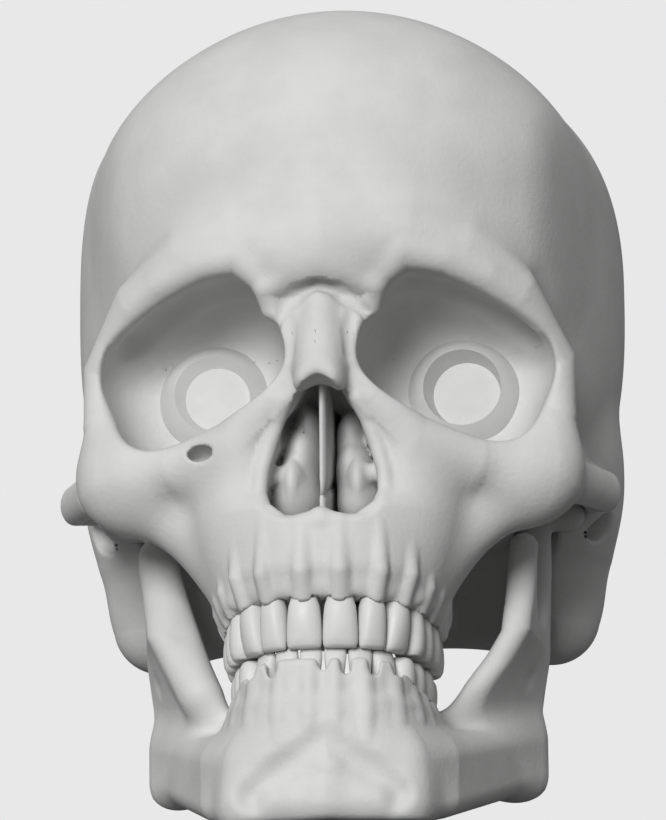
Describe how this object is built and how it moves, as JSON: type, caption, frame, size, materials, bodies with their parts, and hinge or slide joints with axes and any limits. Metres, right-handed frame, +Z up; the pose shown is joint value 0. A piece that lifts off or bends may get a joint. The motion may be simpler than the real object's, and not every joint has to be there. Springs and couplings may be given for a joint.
{
  "type": "classroom skull",
  "caption": "Life-size classroom skull with separate bones, two rows of socketed teeth, round bosses in the orbits and a hinged lower jaw.",
  "frame": {"origin": "on the surface it stands on, under the middle of the whole skull; the chin's flat underside is at z = 0", "axes": "+X towards the skull's left side, +Y towards the back of the head, +Z up; the face looks towards -Y"},
  "size_m": [0.1419, 0.1782, 0.216],
  "materials": {
    "bone": "matte cast bone surface, light neutral grey",
    "tooth": "satin tooth surface, slightly lighter grey"
  },
  "bodies": {
    "cranium": {"left_nasal_bone": "bone", "right_nasal_bone": "bone", "left_inferior_nasal_concha": "bone", "right_inferior_nasal_concha": "bone", "left_palatine_bone": "bone", "right_palatine_bone": "bone", "left_lacrimal_bone": "bone", "right_lacrimal_bone": "bone", "left_maxilla": "bone", "right_maxilla": "bone", "left_zygomatic_bone": "bone", "right_zygomatic_bone": "bone", "left_temporal_bone": "bone", "right_temporal_bone": "bone", "left_parietal_bone": "bone", "right_parietal_bone": "bone", "ethmoid_bone": "bone", "occipital_bone": "bone", "frontal_bone": "bone", "sphenoid_bone": "bone", "vomer": "bone", "upper_left_central_incisor": "tooth", "upper_right_central_incisor": "tooth", "upper_left_lateral_incisor": "tooth", "upper_right_lateral_incisor": "tooth", "upper_left_canine": "tooth", "upper_right_canine": "tooth", "upper_left_first_premolar": "tooth", "upper_right_first_premolar": "tooth", "upper_left_second_premolar": "tooth", "upper_right_second_premolar": "tooth", "upper_left_first_molar": "tooth", "upper_right_first_molar": "tooth", "upper_left_second_molar": "tooth", "upper_right_second_molar": "tooth"},
    "lower_jaw": {"mandible": "bone", "lower_left_central_incisor": "tooth", "lower_right_central_incisor": "tooth", "lower_left_lateral_incisor": "tooth", "lower_right_lateral_incisor": "tooth", "lower_left_canine": "tooth", "lower_right_canine": "tooth", "lower_left_first_premolar": "tooth", "lower_right_first_premolar": "tooth", "lower_left_second_premolar": "tooth", "lower_right_second_premolar": "tooth", "lower_left_first_molar": "tooth", "lower_right_first_molar": "tooth", "lower_left_second_molar": "tooth", "lower_right_second_molar": "tooth"}
  },
  "joints": [
    {"name": "jaw", "type": "hinge", "parent": "cranium", "child": "lower_jaw", "pos_m": [0, 0.00112, 0.092], "axis": [1, 0, 0], "range_deg": [0, 20]}
  ]
}
